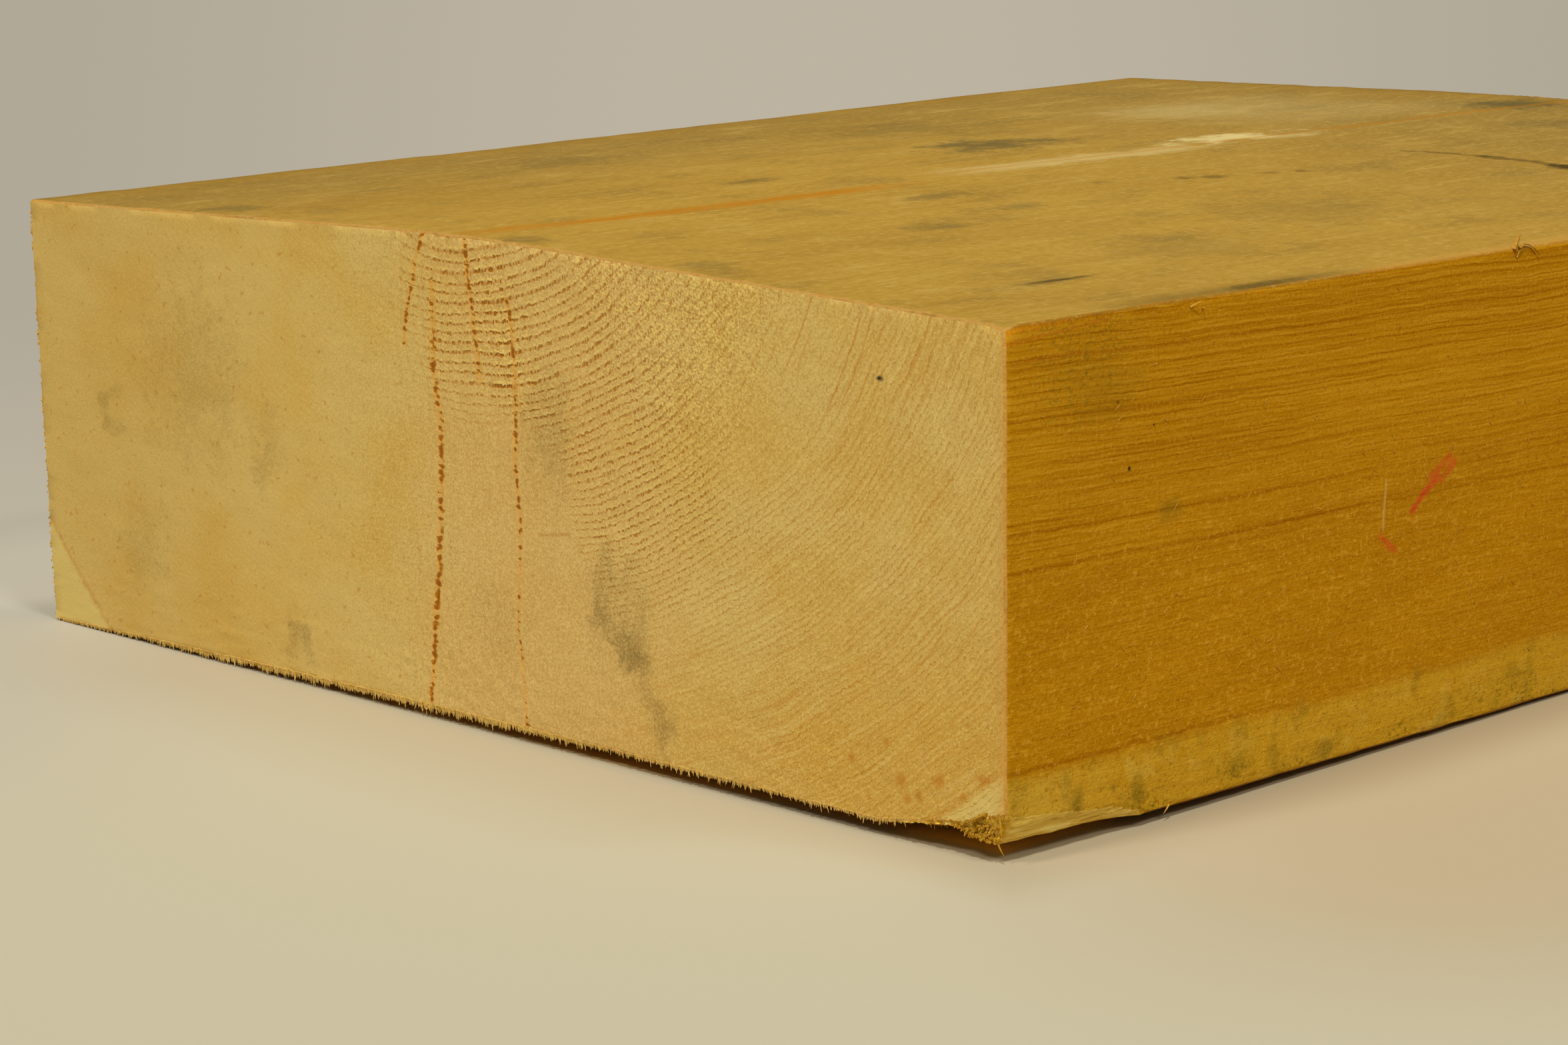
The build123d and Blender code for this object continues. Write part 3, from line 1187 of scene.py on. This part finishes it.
    def build(self, finishes: dict[Skin, Material]) -> bpy.types.Object:
        """Build and dress the plank.

        Args:
            finishes: The material of each skin.

        Returns:
            The finished piece.
        """
        bm = self.blank()
        torn = [v.co.z < self.tear.ceiling(self.half - v.co.x, v.co.y - self.near) for v in bm.verts]
        for vertex in bm.verts:
            vertex.co = self.warped(self.tear.shaped(vertex.co, self.half, self.near))
        bm.normal_update()
        moved = [self.worn(v.co, v.normal, t) for v, t in zip(bm.verts, torn)]
        for vertex, place in zip(bm.verts, moved):
            vertex.co = place * MM
        for face in bm.faces:
            face.smooth = True
        piece = finished("plank_wood", bm, [finishes[skin] for skin in Skin])
        piece.data.set_sharp_from_angle(angle=math.radians(self.sharp_degrees))
        return piece


@dataclass
class Fibre:
    """One wood fibre: where it is rooted, which way it leaves, how far it reaches and where it curls to."""

    root: Vector
    lean: Vector
    reach: float
    curl: Vector
    thick: float


@dataclass
class SawFuzz:
    """Fibres that the saw left: along the near end's lower arris, on the right edge and at the tear."""

    body: PlankBody
    rng: random.Random = field(default_factory=lambda: random.Random(11))
    joints: int = 4
    fringe_count: int = 2300
    tuft_count: int = 40
    wool_count: int = 520
    tear_count: int = 90
    arris_count: int = 340
    shag: tuple[Pair, ...] = ((-112, 0.1), (-82, 0.35), (-64, 1.0), (-12, 1.0), (16, 0.9), (24, 0.4),
                              (112, 0.3))
    tuft_spots: tuple[float, ...] = (-10.6,) * 10 + (12.8,) * 16
    slivers: tuple[tuple[float, float, Triple, float, Triple, float], ...] = (
        (120.5, 74.6, (0.0, 0.6, 1.0), 2.8, (0.0, 0.1, 0.0), 0.8),
        (121.3, 73.3, (0.1, 0.5, 1.0), 1.9, (0.1, 0.3, 0.0), 0.3),
        (121.8, 74.8, (0.08, 3.4, 3.0), 4.9, (0.3, 1.8, -5.0), 0.6),
        (40.0, 73.6, (0.5, 0.8, 0.4), 1.4, (0.2, 0.4, 0.3), 0.3),
        (43.0, 73.0, (0.5, -0.6, 0.5), 1.2, (0.2, 0.2, -0.3), 0.3),
    )

    def template(self) -> bpy.types.Mesh:
        """A straight tapered fibre from 0 to 1 along Z, one unit thick.

        Returns:
            The mesh to copy.
        """
        bm = bmesh.new()
        bmesh.ops.create_cube(bm, size=1.0)
        bmesh.ops.translate(bm, vec=(0, 0, 0.5), verts=bm.verts)
        long_edges = [e for e in bm.edges if abs(e.verts[0].co.z - e.verts[1].co.z) > 0.5]
        bmesh.ops.subdivide_edges(bm, edges=long_edges, cuts=self.joints - 1)
        for vertex in bm.verts:
            taper = 1 - 0.8 * vertex.co.z
            vertex.co.x *= taper
            vertex.co.y *= taper
        mesh = bpy.data.meshes.new("fibre_template")
        bm.to_mesh(mesh)
        bm.free()
        return mesh

    def grow(self, bm: bmesh.types.BMesh, template: bpy.types.Mesh, fibre: Fibre) -> None:
        """Add one fibre to a mesh, bent along its curl.

        Args:
            bm: The mesh.
            template: The straight fibre to copy.
            fibre: The fibre's place and shape.
        """
        before = len(bm.verts)
        bm.from_mesh(template)
        bm.verts.ensure_lookup_table()
        forward = fibre.lean.normalized()
        side = forward.cross(Vector((0.31, 0.52, 0.79))).normalized()
        other = forward.cross(side)
        for vertex in bm.verts[before:]:
            along = vertex.co.z
            place = fibre.root + forward * fibre.reach * along + fibre.curl * along * along
            place += (side * vertex.co.x + other * vertex.co.y) * fibre.thick
            place.z = max(place.z, 0.02)
            vertex.co = place * MM

    def on_bar(self, x: float, y: float, z: float) -> Vector:
        """A point of the square bar moved to where it is on the plank."""
        return self.body.warped(self.body.tear.shaped(Vector((x, y, z)), self.body.half, self.body.near))

    def vary(self, *spans: Pair | float) -> Vector:
        """A vector with its coordinates drawn from these spans; a plain number stays as it is."""
        return Vector([self.rng.uniform(*s) if isinstance(s, tuple) else s for s in spans])

    def fringe(self) -> list[Fibre]:
        """Ragged teeth along the near end's lower arris, thickest left of the checks.

        Returns:
            The fibres.
        """
        fibres = []
        half, near = self.body.half, self.body.near
        while len(fibres) < self.fringe_count:
            x = self.rng.uniform(-half + 1, half - 1)
            shaggy = between(x, self.shag)
            wave = 0.5 + noise.noise(Vector((x * 0.35, 0.0, 7.0)))
            if self.rng.random() > 0.35 + 0.65 * shaggy:
                continue
            foot = self.body.tear.ceiling(half - x, 0.0)
            root = self.on_bar(x, near, foot + 0.6)
            root.y += 0.16
            reach = 0.5 + 0.25 * wave * shaggy + self.rng.random() ** 2 * 0.55 * shaggy
            reach += self.rng.random() ** 9 * 0.9
            lean = self.vary((-0.3, 0.3), (-0.08, 0.08), -1.0)
            reach = min(reach, max(root.z - 0.04, 0.3))
            curl = self.vary((-0.12, 0.12), (-0.08, 0.08), 0.0)
            thick = self.rng.uniform(0.14, 0.34) + 0.12 * shaggy * self.rng.random()
            fibres.append(Fibre(root, lean, reach, curl, thick))
        return fibres

    def tufts(self) -> list[Fibre]:
        """Longer tufts, under the two long checks and here and there along the fringe.

        Returns:
            The fibres.
        """
        fibres = []
        for centre in [*self.tuft_spots, *(self.rng.uniform(-78, 10) for _ in range(self.tuft_count))]:
            root = self.on_bar(centre + self.rng.gauss(0, 0.8), self.body.near, 0.8)
            root.y += 0.12
            lean = self.vary((-0.3, 0.3), (-0.2, 0.0), -1.0)
            reach = min(self.rng.uniform(0.8, 1.7), max(root.z - 0.1, 0.4))
            curl = self.vary((-0.4, 0.4), (-0.15, 0.1), 0.0)
            fibres.append(Fibre(root, lean, reach, curl, self.rng.uniform(0.12, 0.26)))
        return fibres

    def left_arris(self) -> list[Fibre]:
        """Short fuzz along the near end's left arris, which a blunt saw left ragged.

        Returns:
            The fibres.
        """
        fibres = []
        for _ in range(self.arris_count):
            z = self.rng.uniform(1, 74)
            if self.rng.random() > 0.55 + noise.noise(Vector((0.0, 0.0, z * 0.25))):
                continue
            root = self.on_bar(-self.body.half + 0.3, self.body.near + self.rng.uniform(0, 0.5), z)
            lean = self.vary(-1.0, (-0.2, 0.2), (-0.9, 0.5))
            curl = self.vary(0.2, 0.0, (-0.3, 0.3))
            fibres.append(Fibre(root, lean, self.rng.uniform(0.15, 0.55), curl, self.rng.uniform(0.15, 0.4)))
        return fibres

    def wool(self) -> list[Fibre]:
        """Short curled fibres raised on the right edge of the plank.

        Returns:
            The fibres.
        """
        fibres = []
        while len(fibres) < self.wool_count:
            y = self.body.near + 6 + self.rng.random() ** 0.9 * 170
            z = self.rng.gauss(30, 17)
            if not 7 < z < 74 or noise.noise(Vector((1.0, y * 0.08, z * 0.1))) < -0.1:
                continue
            root = self.on_bar(self.body.half, y, z) - Vector((0.08, 0, 0))
            lean = self.vary((0.02, 0.2), (-1, 1), (-0.9, 0.9))
            curl = self.vary(-0.1, (-0.6, 0.6), (-0.6, 0.6))
            fibres.append(Fibre(root, lean, self.rng.uniform(0.4, 1.3), curl, self.rng.uniform(0.05, 0.11)))
        return fibres

    def splinters(self) -> list[Fibre]:
        """Broken fibre ends on the torn arris, pale splinters over it, and a long one at its corner.

        Returns:
            The fibres.
        """
        fibres = []
        tear, half, near = self.body.tear, self.body.half, self.body.near
        for _ in range(self.tear_count):
            inset = self.rng.uniform(0.2, 15.0)
            root = self.on_bar(half - inset, near, tear.ceiling(inset, 0.0) + 0.4)
            root.y += 0.15
            lean = self.vary((-0.6, 0.6), (-0.2, 0.2), -1.0)
            curl = self.vary((-0.2, 0.2), (-0.1, 0.2), 0.0)
            fibres.append(Fibre(root, lean, self.rng.uniform(0.4, 0.9), curl, self.rng.uniform(0.2, 0.4)))
        for _ in range(self.tear_count):
            inset = self.rng.uniform(0.6, tear.mass_inset - 0.6)
            root = self.on_bar(half - inset, near, self.rng.uniform(0.1, 0.75) * tear.ceiling(inset, 0.0))
            lean = self.vary((-0.4, 0.4), -1.0, (-0.35, 0.35))
            curl = self.vary((-0.2, 0.2), 0.0, (-0.4, 0.0))
            fibres.append(Fibre(root, lean, self.rng.uniform(0.15, 0.45), curl, self.rng.uniform(0.3, 0.6)))
        out = Vector((0, -0.1, 0))
        for root, lean, reach, curl, thick in (
                (self.on_bar(half, near + 0.5, 0.2), (0.25, 0.2, -1), 1.4, (0.5, 0, -0.2), 0.3),
                (self.on_bar(half - 1.0, near, 5.4) + out, (0.15, -0.1, -1), 2.6, (0.2, 0, 0), 0.45),
                (self.on_bar(half - 3.8, near, 5.2) + out, (-1, -0.1, -0.5), 2.8, (0, 0, -0.2), 0.5),
                (self.on_bar(half, near + 36.0, 0.6), (0.3, -0.8, -0.6), 1.6, (0, -0.5, 0), 0.25)):
            fibres.append(Fibre(root, Vector(lean), reach, Vector(curl), thick))
        return fibres

    def standing(self) -> list[Fibre]:
        """The few long slivers that stand up from the right arris."""
        return [Fibre(self.on_bar(self.body.half - 0.1, self.body.near + along, low), Vector(lean), reach,
                      Vector(curl), thick) for along, low, lean, reach, curl, thick in self.slivers]

    def build(self, finish: Material) -> bpy.types.Object:
        """Build and dress the fibres as one piece.

        Args:
            finish: Their material.

        Returns:
            The finished piece.
        """
        template = self.template()
        bm = bmesh.new()
        for group in (self.fringe, self.tufts, self.left_arris, self.wool, self.splinters, self.standing):
            for fibre in group():
                self.grow(bm, template, fibre)
        bpy.data.meshes.remove(template)
        return finished("saw_fuzz", bm, [finish])


@dataclass(frozen=True)
class Sun:
    """A far, soft lamp: the way to it, how wide it looks and how bright it is."""

    name: str
    toward: Triple
    angle: float
    share: float


@dataclass(frozen=True)
class Studio:
    """The floor, the light and the camera."""

    camera_at: Triple = (475.5, -563.1, 163.8)
    heading: float = 44.421
    tilt: float = 78.262
    roll: float = -0.195
    lens: float = 93.44
    sensor: float = 36.0
    floor_size: float = 12.0
    plank_half: Pair = (114.0, 150.0)
    floor_near: Colour = paint(187, 178, 149)
    floor_right_falloff_shade: Colour = paint(181, 164, 130)
    floor_back: Colour = paint(176, 167, 150)
    floor_side_falloff_shade: Colour = paint(165, 157, 141)
    floor_left_falloff_shade: Colour = paint(178, 171, 151)
    floor_contact_shade: Colour = paint(166, 146, 111)
    floor_painted_light: Colour = paint(198, 190, 168)
    floor_painted_bounce: Colour = paint(236, 190, 104)
    backdrop: Colour = paint(190, 181, 163)
    ambient: float = 0.15
    suns: tuple[Sun, ...] = (
        Sun("key", (0.35, -0.5, 1.0), 5.0, 0.66),
        Sun("left_fill", (-0.15, -1.0, 1.1), 9.0, 0.35),
        Sun("right_fill", (1.0, -0.2, 1.1), 14.0, 0.32),
    )

    def floor(self) -> bpy.types.Object:
        """A pale floor, a little greyer far behind the plank, with painted light and shade: darker towards
        its sides as the light falls off, a painted contact shade and a painted warm bounce round and under
        the plank, and a painted pale patch left of it.

        Returns:
            The floor, staged.
        """
        bm = bmesh.new()
        bmesh.ops.create_grid(bm, x_segments=1, y_segments=1, size=self.floor_size / 2)
        g = Graph("floor_paper")
        x, y, _ = g.millimetres()
        back = x * -0.7 + y * 0.714
        side = x * 0.714 + y * 0.7
        # Painted shade: the floor colour darkens towards the right, towards the left, and to both sides far
        # behind the plank, as the light falls off.
        g.colour = g.mix(side.step(-50, 40) * back.step(-280, -190), self.floor_near, self.floor_right_falloff_shade)
        sideways = abs((side + 55.0) / (back + 735.0) - 0.01)
        far = g.mix(sideways.step(0.02, 0.21), self.floor_back, self.floor_side_falloff_shade)
        leftward = side.step(-120, -190) * back.step(-200, -60)
        g.tint(self.floor_left_falloff_shade, leftward * 0.8)
        g.tint(far, back.step(-140, 360))
        outside = g.larger(abs(x) - self.plank_half[0], abs(y) - self.plank_half[1])
        # Painted contact shade: the floor is tinted darker in a band round the plank, except on its left
        # side, where the plank's shadow falls.
        tight = x.step(55, 105) * 1.75 + 1.0
        close = (outside * tight).step(44, 0) * x.step(-118, -60)
        g.tint(self.floor_contact_shade, close * 0.45)
        # Painted light: a paler patch on the floor left of the plank cancels the shadow that the right fill
        # casts there.
        left = x.step(-190, -160) * x.step(-116, -130)
        left = y.step(-158, -140) * y.step(170, 120) * left
        g.tint(self.floor_painted_light, left)
        # Painted bounce light: the floor just inside the plank's footprint, which lies in its shade, is
        # tinted warm orange to stand in for light thrown back from the wood's underside.
        bounce_mask = outside + x.step(30, 110) * 4.0
        g.tint(self.floor_painted_bounce, bounce_mask.step(-0.4, -3.4))
        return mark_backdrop(finished("floor", bm, [g.close(0.7, 0.1)]))

    def light(self) -> None:
        """Even light from all round, a soft key from above the camera and two broad fills."""
        world = bpy.data.worlds.new("studio")
        bpy.context.scene.world = world
        world.use_nodes = True
        world.node_tree.nodes.clear()
        nodes, links = world.node_tree.nodes, world.node_tree.links
        seen = nodes.new("ShaderNodeMixShader")
        links.new(nodes.new("ShaderNodeLightPath").outputs["Is Camera Ray"], seen.inputs[0])
        for place, colour, strength in ((1, (1.0, 1.0, 1.0, 1.0), self.ambient), (2, self.backdrop, 1.0)):
            glow = nodes.new("ShaderNodeBackground")
            glow.inputs["Color"].default_value = colour
            glow.inputs["Strength"].default_value = strength
            links.new(glow.outputs[0], seen.inputs[place])
        links.new(seen.outputs[0], nodes.new("ShaderNodeOutputWorld").inputs["Surface"])
        for sun in self.suns:
            light = bpy.data.lights.new(sun.name, "SUN")
            light.angle = math.radians(sun.angle)
            light.energy = sun.share * math.pi
            lamp = in_scene(sun.name, light)
            lamp.location = Vector(sun.toward) * 2
            lamp.rotation_euler = Vector(sun.toward).to_track_quat("Z", "Y").to_euler()

    def camera(self) -> None:
        """Put the camera where the photograph was taken from."""
        data = bpy.data.cameras.new("camera")
        data.lens = self.lens
        data.sensor_width = self.sensor
        data.clip_start, data.clip_end = 0.01, 100.0
        camera = in_scene("camera", data)
        turn = (Matrix.Rotation(math.radians(self.heading), 4, "Z")
                @ Matrix.Rotation(math.radians(self.tilt), 4, "X")
                @ Matrix.Rotation(math.radians(self.roll), 4, "Z"))
        camera.matrix_world = Matrix.Translation(Vector(self.camera_at) * MM) @ turn
        bpy.context.scene.camera = camera

    def build(self) -> None:
        """Build the whole stage."""
        self.floor()
        self.light()
        self.camera()
        bpy.context.scene.view_settings.view_transform = "Standard"


def report(piece: bpy.types.Object) -> None:
    """Log a piece's size in faces."""
    LOG.info("%s: %d faces", piece.name, len(piece.data.polygons))


def main() -> None:
    """Build the plank, its fuzz and the stage."""
    logging.basicConfig(level=logging.INFO, format="%(message)s")
    body = PlankBody()
    # The worn arris's tones are partly its own orange and partly painted shade: they are set darker than the
    # end grain, so that the arris faces, which catch more light, don't show as a bright line.
    arris = PlainFibre("worn_arris", paint(188, 140, 62), paint(194, 154, 82), paint(178, 110, 34),
                       paint(150, 104, 22), paint(172, 122, 40), paint(172, 130, 62), paint(170, 120, 16))
    fuzz = PlainFibre("raised_fibre", paint(204, 168, 86), paint(222, 190, 112), paint(178, 134, 50),
                      paint(200, 150, 50), paint(172, 124, 38), paint(204, 168, 86), paint(166, 118, 12),
                      tear_z=7.6, tear_share=0.9)
    finishes = {
        Skin.END_GRAIN: EndGrain().dress(body.checks),
        Skin.EDGE_GRAIN: EdgeGrain().dress(),
        Skin.TOP_GRAIN: TopGrain().dress(),
        Skin.ARRIS: arris.dress(),
        Skin.TORN: TornWood().dress(),
    }
    plank = body.build(finishes)
    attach(plank, BODY)
    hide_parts(NODE)
    report(plank)
    fibres = SawFuzz(body).build(fuzz.dress())
    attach(fibres, BODY)
    report(fibres)
    Studio().build()


if __name__ == "__main__":
    main()
